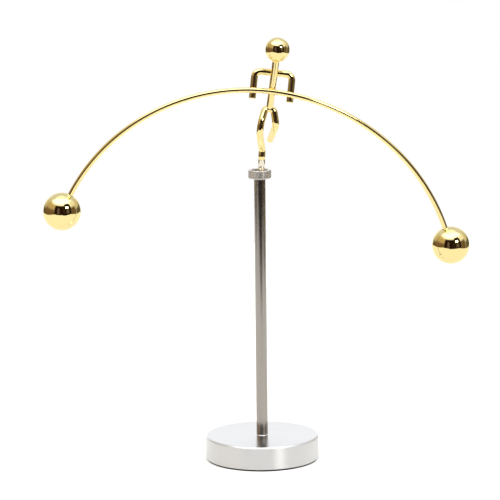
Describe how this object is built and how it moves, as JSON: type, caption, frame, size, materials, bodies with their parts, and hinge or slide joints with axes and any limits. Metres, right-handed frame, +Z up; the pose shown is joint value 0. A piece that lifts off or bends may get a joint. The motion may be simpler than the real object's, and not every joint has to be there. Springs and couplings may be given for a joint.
{
  "type": "counterweight balancing toy",
  "caption": "Balancing acrobat bent from gilt rod: it stands on one foot on a post and rocks, held upright by a bowed bar with ball weights that hang below its foot.",
  "frame": {"origin": "middle of the underside of the base's pad, where the toy stands on a table", "axes": "+Z up along the post, +X to the right of a viewer who faces the figure's front, +Y away from that viewer"},
  "size_m": [0.2815, 0.075, 0.2825],
  "materials": {
    "turned_aluminium": "satin",
    "pad": "matte",
    "zinc_steel": "satin",
    "post_steel": "satin",
    "cap_steel": "satin",
    "polished_steel": "polished",
    "gilt_brass": "polished"
  },
  "bodies": {
    "stand": {"base_disc": "turned_aluminium", "base_pad": "pad", "base_screw": "zinc_steel", "base_washer": "zinc_steel", "post": "post_steel", "top_cap": "cap_steel"},
    "seat": {"pivot_seat": "polished_steel"},
    "pivot": {"pivot_ball": "polished_steel"},
    "figure": {"foot_pin": "polished_steel", "leg_rod": "gilt_brass", "torso_rod": "gilt_brass", "arm_rod": "gilt_brass", "head_ball": "gilt_brass", "balance_bar": "gilt_brass", "left_ball": "gilt_brass", "right_ball": "gilt_brass"}
  },
  "joints": [
    {"name": "turn", "type": "hinge", "parent": "stand", "child": "seat", "pos_m": [0, 0, 0.19395], "axis": [0, 0, 1], "continuous": true},
    {"name": "rock_side", "type": "hinge", "parent": "seat", "child": "pivot", "pos_m": [0.0012, 0, 0.19395], "axis": [0, 1, 0], "range_deg": [-25, 25]},
    {"name": "rock_fore_aft", "type": "hinge", "parent": "pivot", "child": "figure", "pos_m": [0.0012, 0, 0.19395], "axis": [1, 0, 0], "range_deg": [-20, 20]}
  ]
}
